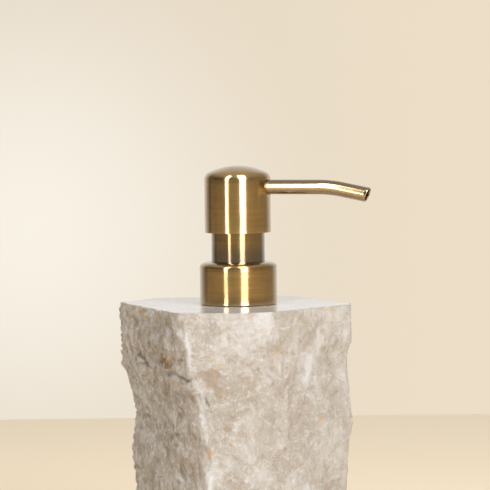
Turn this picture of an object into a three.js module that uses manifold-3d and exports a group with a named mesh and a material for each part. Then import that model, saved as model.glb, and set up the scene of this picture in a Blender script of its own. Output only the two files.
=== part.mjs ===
// A soap pump dispenser: a rough-hewn stone block, polished on top and bored out from below as a
// reservoir, with a brass lotion pump screwed onto a threaded neck that is bonded into the stone.
// Millimetres, +Z up. The origin is the middle of the foot pad's underside and the pump's axis is
// +Z. The spout points along +X.
import * as THREE from "three";
import { mergeVertices } from "three/addons/utils/BufferGeometryUtils.js";
import Module from "manifold-3d";

const wasm = await Module();
wasm.setup();

// ---- Clearances ----
const touchGap = 0.05; // between faces that rest on each other
const fitGap = 0.3; // round a piece that is bonded, pressed or clipped in
const slideGap = 0.3; // round a piece that slides or turns
const lipGap = 0.1; // between the piston's lips and the housing

// ---- Stone block ----
const padThickness = 2;
const padInset = 13; // from the block's mean face to the pad's rim
const stoneHeight = 110;
const stoneRadius = 45; // from the pump's axis to a mean rough face
const stoneWall = 17; // from a mean rough face to the reservoir
const stoneTurn = 20; // degrees that the block's front is turned from the spout's side
const roofThickness = 12; // stone left above the reservoir
const plugThickness = 10;
const plugSeatWidth = 2; // ledge that the plug bears on
const ledgeHeight = 82; // where the weathered step crosses the left faces
const chipDrop = 1.6; // height of the chipped rim round the polished top
const chipWidth = 1.4;
const footChipWidth = 1.5;

// The split faces: each one's direction, how far out it stands from the mean, how much it leans in
// towards the top, and how deep it steps in below the weathered ledge.
const splitFaces = [
  { azimuth: -90, out: 2.4, lean: 0.6, step: 0 },
  { azimuth: -43, out: -4.8, lean: -0.4, step: 0 },
  { azimuth: -4, out: 2.3, lean: 0.2, step: 0 },
  { azimuth: 28, out: -4.6, lean: 0.5, step: 0 },
  { azimuth: 62, out: 3, lean: 1.0, step: 0 },
  { azimuth: 98, out: -2.6, lean: 0.4, step: 0 },
  { azimuth: 142, out: 6.6, lean: 0.8, step: 2.5 },
  { azimuth: 178, out: 4.6, lean: -0.4, step: 5.5 },
  { azimuth: 201, out: -5.4, lean: -0.4, step: 0.8 },
  { azimuth: 216, out: -3, lean: -4, step: 3.5 },
];

// ---- Threaded neck and closure ----
const neckHeight = 13.5; // from the stone's top to the rim
const neckRootRadius = 12.5;
const neckWall = 1.7;
const neckFlange = 2.2; // how far the bonded foot stands out past the neck
const threadHeight = 1.1;
const threadPitch = 25.4 / 6;
const threadTurns = 1.25;
const threadRootWidth = 2;
const threadCrestWidth = 1;
const threadStart = 6; // from the stone's top to the middle of the neck's thread start
const threadLead = 0.25; // turns that the closure's thread starts ahead of the neck's
const closureThreadGap = 0.4; // between the neck's crests and the closure's wall
const closureWall = 1.2;
const closureDisc = 0.95;
const closureLap = 2.3; // how far the closure's disc reaches in over the housing's flange
const gasketThickness = 1;

// ---- Metal shells ----
const shellWall = 0.8;
const collarFoot = 0.3; // from the stone to the collar
const collarRoundWidth = 4;
const collarRoundHeight = 2.2;
const sleeveRadius = 11.3;
const sleeveWall = 0.9;
const sleeveSeat = 0.2; // how far the closure's disc reaches in past the sleeve's bore
const sleeveLap = 3.2; // how far the sleeve reaches into the head at rest
const skirtGap = 1.9; // between the sleeve and the head's skirt
const headRoundRadius = 3.5;
const headCrownRadius = 28.5;
const headAboveSpout = 9;

// ---- Pump ----
const stroke = 11;
const strokeMargin = 1.3; // left between the head and the collar when it is pressed home
const housingBore = 6.4;
const housingWall = 1.2;
const flangeThickness = 1.4;
const guideLength = 17; // of the chaplet's guide, below the flange
const chapletWall = 1.5;
const stemRadius = 3.6;
const stemBore = 2.2;
const stemFootThickness = 1.6;
const valveShaftRadius = 2.6;
const valveShaftBore = 1.5;
const valveShaftEngagement = 10; // of the valve stem in the upper stem
const valveHeadThickness = 1.5;
const valveHeadGap = 1.4; // for the soap to pass round the valve's head
const portHeight = 1.8;
const pistonHeight = 6;
const lostMotion = 1.2; // of the piston along the valve stem, which opens the ports
const springWire = 0.9;
const springTurns = 7;
const springMargin = 1; // left between the coils at full stroke
const ballRadius = 2.4;
const ballLift = 1.8;
const inletRadius = 1.6;
const ballLip = 0.9; // thickness of the lip that keeps the ball in
const tubeRadius = 2.9;
const tubeBore = 2.1;
const socketDepth = 8.5;
const socketWall = 1.25;
const tubeToPlug = 4; // left under the dip tube
const tubeCutAngle = 40; // degrees

// ---- Actuator and spout ----
const spoutRadius = 3.1;
const spoutWall = 0.55;
const spoutReach = 57.2; // from the pump's axis to the middle of the tip
const spoutBendStart = 36;
const spoutBendRadius = 52;
const spoutDroop = 11.1; // degrees
const spoutMitre = 10.7; // degrees that the tip's face looks down from square
const linerWall = 0.55;
const linerInset = 1.6; // behind the tip
const bossWall = 0.95;
const spoutSocketDepth = 5.2;
const liquidRadius = 1.9;
const stemSocketDepth = 8.5;
const actuatorPlate = 1.6;

// ---- Radii that follow ----
const reservoirRadius = stoneRadius - stoneWall;
const plugSeatRadius = reservoirRadius + plugSeatWidth + fitGap;
const neckBore = neckRootRadius - neckWall;
const neckFootRadius = neckRootRadius + neckFlange;
const neckSeatRadius = neckFootRadius + fitGap;
const threadCrestRadius = neckRootRadius + threadHeight;
const closureBore = threadCrestRadius + closureThreadGap;
const closureRadius = closureBore + closureWall;
const flangeRadius = neckRootRadius - 0.1;
const sleeveBore = sleeveRadius - sleeveWall;
const closureHole = Math.min(neckRootRadius - closureLap, sleeveBore - sleeveSeat);
const collarRadius = closureRadius + fitGap + shellWall;
const collarHole = sleeveRadius + slideGap;
const headInnerRadius = sleeveRadius + skirtGap;
const headRadius = headInnerRadius + shellWall;
const housingRadius = housingBore + housingWall;
const stemFootRadius = housingBore - 1.2;
const valveHeadRadius = housingBore - valveHeadGap;
const springRadius = valveHeadRadius - springWire / 2 - 0.1;
const stemSocketRadius = stemRadius + fitGap / 2;
const hubRadius = stemSocketRadius + 1.85;
const bossRadius = spoutRadius + fitGap / 2 + bossWall;

// ---- Levels that follow, from the stone up ----
const stoneTop = padThickness + stoneHeight;
const reservoirRoof = stoneTop - roofThickness;
const rim = stoneTop + neckHeight;
const gasketBottom = rim + touchGap;
const flangeBottom = gasketBottom + gasketThickness + touchGap;
const flangeTop = flangeBottom + flangeThickness;
const discBottom = flangeTop + touchGap;
const discTop = discBottom + closureDisc;
const sleeveBottom = discTop + 0.2;
const collarTop = sleeveBottom + shellWall;
const skirtBottom = collarTop + stroke + strokeMargin;
const sleeveTop = skirtBottom + sleeveLap;
const spoutLevel = sleeveTop + stroke + 2 * fitGap + bossRadius;
const headTop = spoutLevel + headAboveSpout;
const stemSocketTop = spoutLevel - liquidRadius - 1;
const stemSocketBottom = stemSocketTop - stemSocketDepth;

// ---- Levels that follow, from the flange down ----
const guideBottom = flangeBottom - guideLength;
const stemFootTop = guideBottom - 3 * touchGap;
const stemBottom = stemFootTop - stemFootThickness;
const pistonTop = stemBottom - lostMotion - 2 * touchGap;
const pistonBottom = pistonTop - pistonHeight;
const valveHeadTop = pistonBottom - 2 * touchGap;
const valveHeadBottom = valveHeadTop - valveHeadThickness;
const springTop = valveHeadBottom - 2 * touchGap;
const springBottom = springTop - stroke - (springTurns + 1) * springWire - springMargin;
const springLedge = springBottom - 2 * touchGap;
const lipBottom = springLedge - ballLip;
const ballCentre = lipBottom - 2 * touchGap - ballLift - ballRadius;
const seatApex = ballCentre - (ballRadius + 2 * touchGap) * Math.SQRT2;
const ballChamberRadius = ballRadius + 0.6;
const inletTop = seatApex + inletRadius;
const socketTop = inletTop - 1;
const tubeTop = socketTop - 2 * touchGap;
const socketBottom = socketTop - socketDepth;
const socketRadius = tubeRadius + fitGap / 2;
const tubeBottom = padThickness + plugThickness + tubeToPlug;

// ---- Solids ----
const coarse = 20; // sides of the small round pieces
const fine = 32; // sides of the large round pieces

const degrees = THREE.MathUtils.degToRad;

// A closed geometry as a manifold solid.
function solid(geometry) {
  const bare = new THREE.BufferGeometry();
  bare.setAttribute("position", geometry.getAttribute("position"));
  bare.setIndex(geometry.index);
  const merged = mergeVertices(bare, 1e-4);
  return new wasm.Manifold(
    new wasm.Mesh({
      numProp: 3,
      vertProperties: merged.getAttribute("position").array,
      triVerts: new Uint32Array(merged.index.array),
    }),
  );
}

// A manifold solid as a geometry.
function geometryOf(made) {
  const mesh = made.getMesh();
  const geometry = new THREE.BufferGeometry();
  geometry.setAttribute("position", new THREE.BufferAttribute(mesh.vertProperties, 3));
  geometry.setIndex(new THREE.BufferAttribute(mesh.triVerts, 1));
  const flat = geometry.toNonIndexed();
  flat.computeVertexNormals();
  return flat;
}

// A solid of revolution about Z from [radius, level] points. The outline closes on itself, unless
// it starts and ends on the axis.
function turned(outline, sides) {
  const points = outline.map(([radius, level]) => new THREE.Vector2(radius, level));
  if (points[0].x > 0) points.push(points[0].clone());
  if (THREE.ShapeUtils.area(points) < 0) points.reverse();
  return solid(new THREE.LatheGeometry(points, sides).rotateX(Math.PI / 2));
}

// A ring or tube with a square section.
function ring(inner, outer, bottom, top, sides) {
  const outline = [
    [inner, bottom],
    [outer, bottom],
    [outer, top],
    [inner, top],
  ];
  return turned(outline, sides);
}

// A round bar about Z.
function bar(radius, bottom, top, sides) {
  const geometry = new THREE.CylinderGeometry(radius, radius, top - bottom, sides);
  return solid(geometry.rotateX(Math.PI / 2).translate(0, 0, (top + bottom) / 2));
}

// A round bar along X at one level.
function crossBar(radius, start, end, level, sides) {
  const geometry = new THREE.CylinderGeometry(radius, radius, end - start, sides);
  return solid(geometry.rotateZ(Math.PI / 2).translate((start + end) / 2, 0, level));
}

// Points along an arc in the half plane of radius and level, angles in degrees from outwards.
function arc(radius, level, across, high, from, to, steps) {
  return Array.from({ length: steps + 1 }, (_, i) => {
    const angle = degrees(from + ((to - from) * i) / steps);
    return [radius + across * Math.cos(angle), level + high * Math.sin(angle)];
  });
}

// A helical ridge with its root on a cylinder. Height is positive outwards and negative inwards,
// and the ends run out over the first and last fifth of a turn.
function threadRidge(rootRadius, height, firstLevel, firstTurn) {
  const embed = -0.2 * Math.sign(height);
  const section = new THREE.Shape([
    new THREE.Vector2(embed, -threadRootWidth / 2),
    new THREE.Vector2(height, -threadCrestWidth / 2),
    new THREE.Vector2(height, threadCrestWidth / 2),
    new THREE.Vector2(embed, threadRootWidth / 2),
  ]);
  const steps = Math.round(threadTurns * fine);
  const geometry = new THREE.ExtrudeGeometry(section, { depth: 1, steps, bevelEnabled: false });
  const position = geometry.getAttribute("position");
  for (let i = 0; i < position.count; i++) {
    const along = position.getZ(i) * threadTurns;
    const runOut = Math.min(1, along / 0.2, (threadTurns - along) / 0.2);
    const atRoot = position.getX(i) * height < 0;
    const out = atRoot ? embed : height * Math.max(0.08, runOut);
    const angle = (firstTurn + along) * 2 * Math.PI;
    const level = firstLevel - position.getY(i) + along * threadPitch;
    const radius = rootRadius + out;
    position.setXYZ(i, radius * Math.cos(angle), radius * Math.sin(angle), level);
  }
  return solid(geometry);
}

// ---- Finishes ----
const finishes = {
  stone: { color: 0xcfc6bb, roughness: 0.75, metalness: 0 },
  brass: { color: 0x8a6a34, roughness: 0.35, metalness: 1 },
  whitePlastic: { color: 0xe8e6e0, roughness: 0.5, metalness: 0 },
  clearPlastic: { color: 0xdfe3e4, roughness: 0.25, metalness: 0 },
  steel: { color: 0xb9bcc0, roughness: 0.25, metalness: 1 },
  foam: { color: 0x2a2a2b, roughness: 0.95, metalness: 0 },
};

function piece(name, made, finish) {
  const mesh = new THREE.Mesh(geometryOf(made), new THREE.MeshStandardMaterial(finishes[finish]));
  mesh.name = name;
  return mesh;
}

// ---- Stone block ----

// How far the rough surface stands from the axis in one direction at one height above the foot.
function stoneReach(angle, height) {
  const distances = splitFaces.map((face) => {
    const facing = Math.cos(angle - degrees(face.azimuth));
    if (facing < 0.3) return Infinity;
    const lean = face.lean * (1 - (2 * height) / stoneHeight);
    const step = height < ledgeHeight ? face.step : 0;
    return (stoneRadius + face.out + lean - step) / facing;
  });
  return Math.min(...distances);
}

function stoneBlank() {
  const ledge = Math.min(ledgeHeight, stoneHeight - chipDrop - 4);
  const heights = [0, 3, ledge * 0.5, ledge - 0.5, ledge + 2, stoneHeight - chipDrop, stoneHeight];
  const rimChips = { 0: footChipWidth, [stoneHeight]: chipWidth };
  const sides = 52;
  const rows = heights.length - 1;
  const geometry = new THREE.CylinderGeometry(1, 1, 1, sides, rows).rotateX(Math.PI / 2);
  const position = geometry.getAttribute("position");
  for (let i = 0; i < position.count; i++) {
    const height = heights[Math.round((position.getZ(i) + 0.5) * rows)];
    const angle = Math.atan2(position.getY(i), position.getX(i));
    const onAxis = Math.hypot(position.getX(i), position.getY(i)) < 0.5;
    const chip = rimChips[height] ?? 0;
    const radius = onAxis ? 0 : stoneReach(angle, height) - chip;
    const facing = angle + degrees(stoneTurn);
    position.setXYZ(i, radius * Math.cos(facing), radius * Math.sin(facing), padThickness + height);
  }
  return solid(geometry);
}

function stoneBody() {
  const seatTop = padThickness + plugThickness + fitGap;
  const hollow = [
    [0, padThickness - 1],
    [plugSeatRadius, padThickness - 1],
    [plugSeatRadius, seatTop],
    [reservoirRadius, seatTop],
    [reservoirRadius, reservoirRoof],
    [neckSeatRadius, reservoirRoof],
    [neckSeatRadius, stoneTop + 1],
    [0, stoneTop + 1],
  ];
  return stoneBlank().subtract(turned(hollow, fine));
}

function basePlug() {
  return bar(plugSeatRadius - fitGap, padThickness, padThickness + plugThickness, fine);
}

function basePad() {
  return bar(stoneRadius - padInset, 0, padThickness - touchGap, fine);
}

// ---- Threaded neck and closure ----

function neckInsert() {
  const foot = reservoirRoof + fitGap;
  const outline = [
    [neckBore, foot],
    [neckFootRadius, foot],
    [neckFootRadius, stoneTop],
    [neckRootRadius, stoneTop],
    [neckRootRadius, rim],
    [neckBore, rim],
  ];
  const ridge = threadRidge(neckRootRadius, threadHeight, stoneTop + threadStart, 0);
  return turned(outline, fine).add(ridge);
}

// The middle of the collar's rounded shoulder, which the closure's shoulder follows inside it.
const shoulderWidth = Math.min(collarRoundWidth, collarRadius - collarHole - 0.5);
const shoulder = [collarRadius - shoulderWidth, collarTop - collarRoundHeight];

function screwClosure() {
  const bottom = stoneTop + 3 * collarFoot;
  const outline = [
    [closureBore, bottom],
    [closureRadius, bottom],
    ...arc(...shoulder, closureRadius - shoulder[0], discTop - shoulder[1], 0, 90, 3),
    [closureHole, discTop],
    [closureHole, discBottom],
    [closureBore, discBottom],
  ];
  const flankGap = (threadRootWidth + threadCrestWidth) / 2 + fitGap;
  const start = stoneTop + threadStart - flankGap - threadLead * threadPitch;
  const ridge = threadRidge(closureBore, -threadHeight, start, -threadLead);
  return turned(outline, fine).add(ridge);
}

function collarShell() {
  const bottom = stoneTop + collarFoot;
  const liningWidth = shoulderWidth - shellWall;
  const liningHeight = collarRoundHeight - shellWall;
  const outline = [
    [collarRadius - shellWall, bottom],
    [collarRadius, bottom],
    ...arc(...shoulder, shoulderWidth, collarRoundHeight, 0, 90, 6),
    [collarHole, collarTop],
    [collarHole, sleeveBottom],
    ...arc(...shoulder, liningWidth, liningHeight, 90, 0, 3),
  ];
  return turned(outline, fine);
}

// ---- Fixed pieces of the pump ----

function gasket() {
  return ring(neckBore, flangeRadius, gasketBottom, gasketBottom + gasketThickness, fine);
}

function pumpHousing() {
  const socketOuter = socketRadius + socketWall;
  const chamberOuter = ballChamberRadius + socketWall;
  const shoulder = springLedge - housingWall;
  const outline = [
    [socketRadius, socketBottom],
    [socketOuter, socketBottom],
    [Math.max(socketOuter, chamberOuter), socketTop],
    [Math.max(socketOuter, chamberOuter), shoulder - 3],
    [housingRadius, shoulder],
    [housingRadius, flangeBottom],
    [flangeRadius, flangeBottom],
    [flangeRadius, flangeTop],
    [housingBore, flangeTop],
    [housingBore, springLedge],
    [ballRadius - 0.2, springLedge],
    [ballRadius - 0.2, lipBottom],
    [ballChamberRadius, lipBottom],
    [ballChamberRadius, seatApex + ballChamberRadius],
    [inletRadius, inletTop],
    [inletRadius, socketTop],
    [socketRadius, socketTop],
  ];
  const vent = crossBar(0.9, housingBore - 1, housingRadius + 1, flangeBottom - 4, 8);
  return turned(outline, coarse).subtract(vent);
}

function chaplet() {
  const bore = stemRadius + slideGap;
  const spigot = closureHole - slideGap;
  const outer = sleeveBore - fitGap / 2;
  const foot = sleeveBottom;
  const floor = foot + chapletWall;
  const top = sleeveTop - sleeveWall - fitGap / 2;
  const outline = [
    [bore, guideBottom],
    [housingBore - 0.2, guideBottom],
    [housingBore - 0.2, flangeTop + touchGap],
    [spigot, flangeTop + touchGap],
    [spigot, foot],
    [outer, foot],
    [outer, top],
    [outer - chapletWall, top],
    [outer - chapletWall, floor],
    [bore, floor],
  ];
  return turned(outline, coarse);
}

function neckSleeve() {
  const lip = hubRadius + slideGap + 0.1;
  const outline = [
    [sleeveBore, sleeveBottom],
    [sleeveRadius, sleeveBottom],
    [sleeveRadius, sleeveTop - 0.6],
    [sleeveRadius - 0.6, sleeveTop],
    [lip, sleeveTop],
    [lip, sleeveTop - sleeveWall],
    [sleeveBore, sleeveTop - sleeveWall],
  ];
  return turned(outline, fine);
}

function dipTube() {
  const drop = 2 * tubeRadius * Math.tan(degrees(tubeCutAngle));
  const cutter = new THREE.BoxGeometry(6 * tubeRadius, 6 * tubeRadius, 2 * drop);
  cutter.translate(0, 0, -drop).rotateY(degrees(-tubeCutAngle));
  cutter.translate(0, 0, tubeBottom + drop / 2);
  return ring(tubeBore, tubeRadius, tubeBottom, tubeTop, coarse).subtract(solid(cutter));
}

class CoilCurve extends THREE.Curve {
  getPoint(t, target = new THREE.Vector3()) {
    const angle = t * springTurns * 2 * Math.PI;
    const low = springBottom + springWire / 2;
    const high = springTop - springWire / 2;
    const level = THREE.MathUtils.lerp(low, high, t);
    return target.set(springRadius * Math.cos(angle), springRadius * Math.sin(angle), level);
  }
}

function returnSpring() {
  const section = new THREE.Shape().absarc(0, 0, springWire / 2, 0, 2 * Math.PI);
  const steps = springTurns * 12;
  const options = { extrudePath: new CoilCurve(), steps, curveSegments: 3, bevelEnabled: false };
  return solid(new THREE.ExtrudeGeometry(section, options));
}

// ---- Moving pieces of the pump ----

function checkBall() {
  const geometry = new THREE.SphereGeometry(ballRadius, 16, 10).rotateX(Math.PI / 2);
  return solid(geometry.translate(0, 0, ballCentre));
}

function valveStem() {
  const shaftTop = stemBottom + valveShaftEngagement;
  const pin = springRadius - springWire / 2 - fitGap;
  const outline = [
    [0, valveHeadBottom - 2],
    [pin - 0.5, valveHeadBottom - 2],
    [pin, valveHeadBottom - 1.5],
    [pin, valveHeadBottom],
    [valveHeadRadius, valveHeadBottom],
    [valveHeadRadius, valveHeadTop - 0.3],
    [valveHeadRadius - 0.5, valveHeadTop],
    [valveShaftRadius, valveHeadTop],
    [valveShaftRadius, shaftTop],
    [valveShaftBore, shaftTop],
    [valveShaftBore, valveHeadTop],
    [0, valveHeadTop],
  ];
  const port = new THREE.BoxGeometry(4 * valveShaftRadius, valveShaftBore, portHeight);
  port.translate(0, 0, valveHeadTop + portHeight / 2 + 0.2);
  return turned(outline, coarse).subtract(solid(port));
}

function piston() {
  const bore = valveShaftRadius + 0.2;
  const lip = housingBore - lipGap;
  const waist = housingBore - 1.1;
  const outline = [
    [bore, pistonBottom + 1.5],
    [valveHeadRadius - 0.8, pistonBottom],
    [lip - 0.4, pistonBottom],
    [lip, pistonBottom + 0.5],
    [waist, pistonBottom + 1.6],
    [waist, pistonTop - 1.6],
    [lip, pistonTop - 0.5],
    [lip - 0.4, pistonTop],
    [bore, pistonTop],
  ];
  return turned(outline, coarse);
}

function upperStem() {
  const counterbore = valveShaftRadius + fitGap / 2;
  const shoulder = stemBottom + valveShaftEngagement + 2 * touchGap;
  const top = stemSocketTop - 2 * touchGap;
  const outline = [
    [counterbore, stemBottom],
    [stemFootRadius, stemBottom],
    [stemFootRadius, stemFootTop],
    [stemRadius, stemFootTop],
    [stemRadius, top],
    [stemBore, top],
    [stemBore, shoulder],
    [counterbore, shoulder],
  ];
  return turned(outline, coarse);
}

// ---- Actuator and spout ----

// The level where the head's wall turns into its rounded corner.
function headCornerLevel() {
  const across = headRadius - headRoundRadius;
  const slant = headCrownRadius - headRoundRadius;
  return headTop - headCrownRadius + Math.sqrt(slant * slant - across * across);
}

// The head's outline from the middle of its crown down to its skirt, set in by a wall or a gap.
function headOutline(inset, crownSteps, cornerSteps) {
  const across = headRadius - headRoundRadius;
  const corner = headCornerLevel();
  const crown = headTop - headCrownRadius;
  const meet = THREE.MathUtils.radToDeg(Math.atan2(corner - crown, across));
  const crownRadius = headCrownRadius - inset;
  const cornerRadius = headRoundRadius - inset;
  return [
    [0, headTop - inset],
    ...arc(0, crown, crownRadius, crownRadius, 90, meet, crownSteps).slice(1),
    ...arc(across, corner, cornerRadius, cornerRadius, meet, 0, cornerSteps).slice(1),
    [headRadius - inset, skirtBottom],
  ];
}

function headShell() {
  const outline = [...headOutline(shellWall, 3, 3), ...headOutline(0, 4, 5).reverse()];
  const hole = crossBar(spoutRadius + fitGap, headRadius / 2, headRadius + 2, spoutLevel, coarse);
  return turned(outline, fine).subtract(hole);
}

function actuatorCore() {
  const outer = headInnerRadius - fitGap;
  const plateTop = headCornerLevel() + 1;
  const plateBottom = plateTop - actuatorPlate;
  const skirt = spoutLevel - 3.5;
  const plate = [
    [0, plateTop],
    [outer, plateTop],
    [outer, skirt],
    [sleeveRadius + 2 * slideGap, skirt],
    [sleeveRadius + 2 * slideGap, plateBottom],
    [0, plateBottom],
  ];
  const bossEnd = Math.sqrt(headInnerRadius ** 2 - bossRadius ** 2) - fitGap;
  const bossStart = bossEnd - spoutSocketDepth;
  const lining = [...headOutline(shellWall + fitGap, 3, 3), [0, skirtBottom]];
  return turned(plate, fine)
    .add(bar(hubRadius, stemSocketBottom, plateTop - 0.5, coarse))
    .add(crossBar(bossRadius, 0, bossEnd, spoutLevel, coarse))
    .intersect(turned(lining, fine))
    .subtract(bar(stemSocketRadius, stemSocketBottom - 1, stemSocketTop, coarse))
    .subtract(bar(stemBore, stemSocketTop - 1, spoutLevel, coarse))
    .subtract(crossBar(liquidRadius, 0, bossEnd + 1, spoutLevel, 12))
    .subtract(crossBar(spoutRadius + fitGap / 2, bossStart, bossEnd + 3, spoutLevel, coarse));
}

// The middle line of the spout: level, round the bend, then drooping to a little past the tip.
class SpoutCurve extends THREE.Curve {
  constructor(start, extra) {
    super();
    this.start = start;
    this.bendLength = spoutBendRadius * degrees(spoutDroop);
    const bendRun = spoutBendRadius * Math.sin(degrees(spoutDroop));
    const lastRun = spoutReach - spoutBendStart - bendRun;
    this.lastLength = lastRun / Math.cos(degrees(spoutDroop)) + extra;
    this.total = spoutBendStart - start + this.bendLength + this.lastLength;
  }

  getPoint(t, target = new THREE.Vector3()) {
    const along = t * this.total - (spoutBendStart - this.start);
    const turn = THREE.MathUtils.clamp(along, 0, this.bendLength) / spoutBendRadius;
    const level = Math.min(along, 0);
    const last = Math.max(along - this.bendLength, 0);
    const x = spoutBendStart + level + spoutBendRadius * Math.sin(turn) + last * Math.cos(turn);
    const drop = spoutBendRadius * (1 - Math.cos(turn)) + last * Math.sin(turn);
    return target.set(x, 0, spoutLevel - drop);
  }
}

// A tube along the spout's middle line, cut off by the tip's slanted face moved back by inset.
function spoutPipe(outer, inner, start, inset, sides) {
  const curve = new SpoutCurve(start, 6);
  const section = new THREE.Shape().absarc(0, 0, outer, 0, 2 * Math.PI);
  section.holes.push(new THREE.Path().absarc(0, 0, inner, 0, 2 * Math.PI));
  const options = { extrudePath: curve, steps: 18, curveSegments: sides, bevelEnabled: false };
  const tip = curve.getPoint(1 - 6 / curve.total);
  const cutter = new THREE.BoxGeometry(20, 20, 20).translate(10 - inset, 0, 0);
  cutter.rotateY(degrees(spoutDroop + spoutMitre)).translate(tip.x, 0, tip.z);
  return solid(new THREE.ExtrudeGeometry(section, options)).subtract(solid(cutter));
}

const spoutStart =
  Math.sqrt(headInnerRadius ** 2 - bossRadius ** 2) - spoutSocketDepth - fitGap + 0.1;

function spoutTube() {
  return spoutPipe(spoutRadius, spoutRadius - spoutWall, spoutStart, 0, 8);
}

function spoutLiner() {
  const outer = spoutRadius - spoutWall - fitGap / 2;
  return spoutPipe(outer, outer - linerWall, spoutStart, linerInset, 6);
}

// ---- Assembly ----
function group(...members) {
  const made = new THREE.Group();
  made.add(...members);
  return made;
}

const bottle = group(
  piece("stone_body", stoneBody(), "stone"),
  piece("base_plug", basePlug(), "stone"),
  piece("base_pad", basePad(), "foam"),
  piece("neck_insert", neckInsert(), "whitePlastic"),
);

const collar = group(
  piece("collar_shell", collarShell(), "brass"),
  piece("screw_closure", screwClosure(), "whitePlastic"),
);

const pump = group(
  piece("gasket", gasket(), "foam"),
  piece("pump_housing", pumpHousing(), "whitePlastic"),
  piece("chaplet", chaplet(), "whitePlastic"),
  piece("neck_sleeve", neckSleeve(), "brass"),
  piece("dip_tube", dipTube(), "clearPlastic"),
  piece("return_spring", returnSpring(), "steel"),
  piece("check_ball", checkBall(), "steel"),
);

const plunger = group(
  piece("valve_stem", valveStem(), "whitePlastic"),
  piece("piston", piston(), "clearPlastic"),
);

const head = group(
  piece("upper_stem", upperStem(), "whitePlastic"),
  piece("actuator_core", actuatorCore(), "whitePlastic"),
  piece("head_shell", headShell(), "brass"),
  piece("spout_tube", spoutTube(), "brass"),
  piece("spout_liner", spoutLiner(), "clearPlastic"),
);

export default group(bottle, collar, pump, plunger, head);
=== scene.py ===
# %% [markdown]
# # A stone soap dispenser with a brass pump
# The CAD model is the fixed frame: it says where every piece sits and what moves. This lesson puts
# the looks on it. The stone block and the brass shells are modelled again in finer detail, and the
# plastic works inside keep their CAD meshes and get better materials.

# %% Load the frame
import math

import bpy
import numpy as np
from mathutils import Matrix, Vector, noise


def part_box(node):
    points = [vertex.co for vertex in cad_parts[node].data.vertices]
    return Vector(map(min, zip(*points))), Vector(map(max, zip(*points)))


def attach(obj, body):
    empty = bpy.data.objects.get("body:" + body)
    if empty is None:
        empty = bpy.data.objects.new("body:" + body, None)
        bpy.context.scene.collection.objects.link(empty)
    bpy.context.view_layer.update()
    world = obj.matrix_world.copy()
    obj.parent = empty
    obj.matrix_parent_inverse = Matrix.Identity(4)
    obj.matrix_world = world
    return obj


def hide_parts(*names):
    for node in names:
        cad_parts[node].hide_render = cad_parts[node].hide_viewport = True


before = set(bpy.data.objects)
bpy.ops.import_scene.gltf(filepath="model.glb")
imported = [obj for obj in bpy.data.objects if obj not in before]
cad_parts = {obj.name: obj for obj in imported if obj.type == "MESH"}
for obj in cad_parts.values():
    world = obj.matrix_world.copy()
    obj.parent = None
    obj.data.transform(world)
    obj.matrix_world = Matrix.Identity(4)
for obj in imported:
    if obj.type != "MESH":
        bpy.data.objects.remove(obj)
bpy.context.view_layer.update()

mm = 0.001
scene = bpy.context.scene
scene.view_settings.view_transform = "Standard"

# %% [markdown]
# ## The camera
# The dispenser is seen from a little to the right of its front, just above the level of its top,
# through a long lens, so that its upright lines stay upright. `toward` turns an angle round the
# pump's axis into a direction, and the camera and the lights are placed with it.

# %% Place the camera
front_angle = 20


def toward(angle):
    """The level direction at an angle round the axis, in degrees from the block's own front."""
    turned_by = math.radians(angle)
    return Vector((math.sin(turned_by), -math.cos(turned_by), 0))


def look_from(thing, place, aim, roll=0.0):
    """Puts a camera or a light at a place and turns it to face a point."""
    thing.location = place
    thing.rotation_mode = "QUATERNION"
    level = (Vector(aim) - Vector(place)).to_track_quat("-Z", "Y")
    thing.rotation_quaternion = level @ Matrix.Rotation(math.radians(roll), 4, "Z").to_quaternion()


view_right = toward(front_angle + 90)
camera_data = bpy.data.cameras.new("studio_camera")
camera_data.lens = 204.8
camera = bpy.data.objects.new("studio_camera", camera_data)
scene.collection.objects.link(camera)
scene.camera = camera
camera_place = toward(front_angle) * 1.171 + Vector((0, 0, 0.204))
camera_aim = view_right * 0.0029 + Vector((0, 0, 0.1368))
look_from(camera, camera_place, camera_aim, -0.65)
print("camera at", [round(c, 3) for c in camera_place])

# %% [markdown]
# ## The floor
# A plain pale table carries the dispenser. It ends half a metre behind it, where the backdrop takes
# over. It is a plane, added at the origin, stretched in edit mode and turned to face the camera.

# %% Lay the floor
floor_width = 6.0
floor_front = 2.6
floor_back = 0.537


def deselect_all():
    """Nothing stays selected or in edit mode, so that the next tool works on its own piece."""
    if bpy.context.object and bpy.context.object.mode != "OBJECT":
        bpy.ops.object.mode_set(mode="OBJECT")
    bpy.ops.object.select_all(action="DESELECT")


deselect_all()
bpy.ops.mesh.primitive_plane_add(size=1)
floor = bpy.context.object
floor.name = "floor"
bpy.ops.object.mode_set(mode="EDIT")
bpy.ops.mesh.select_all(action="SELECT")
bpy.ops.transform.resize(value=(floor_width, floor_front + floor_back, 1), center_override=(0, 0, 0))
bpy.ops.transform.translate(value=(0, (floor_back - floor_front) / 2, 0))
bpy.ops.object.mode_set(mode="OBJECT")
floor.data.transform(Matrix.Rotation(math.radians(front_angle), 4, "Z"))

# %% [markdown]
# ## Nodes in a few words
# A material is a tree of nodes. `node` adds one, sets its options and fills its inputs, either with
# a value or with another node's output, and `mixed` blends two colours by a mask.

# %% Helpers for node trees
def node(tree, kind, inputs=None, **options):
    """Adds a node. Inputs are values, or outputs of other nodes, by socket name or number."""
    made = tree.nodes.new(kind)
    for option, value in options.items():
        setattr(made, option, value)
    for name, value in (inputs or {}).items():
        socket = made.inputs[name]
        if isinstance(value, bpy.types.NodeSocket):
            tree.links.new(value, socket)
        else:
            socket.default_value = value
    return made


def maths(tree, operation, *values, clamp=False):
    """One step of arithmetic on values or outputs."""
    inputs = dict(enumerate(values))
    return node(tree, "ShaderNodeMath", inputs, operation=operation, use_clamp=clamp).outputs[0]


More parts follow.
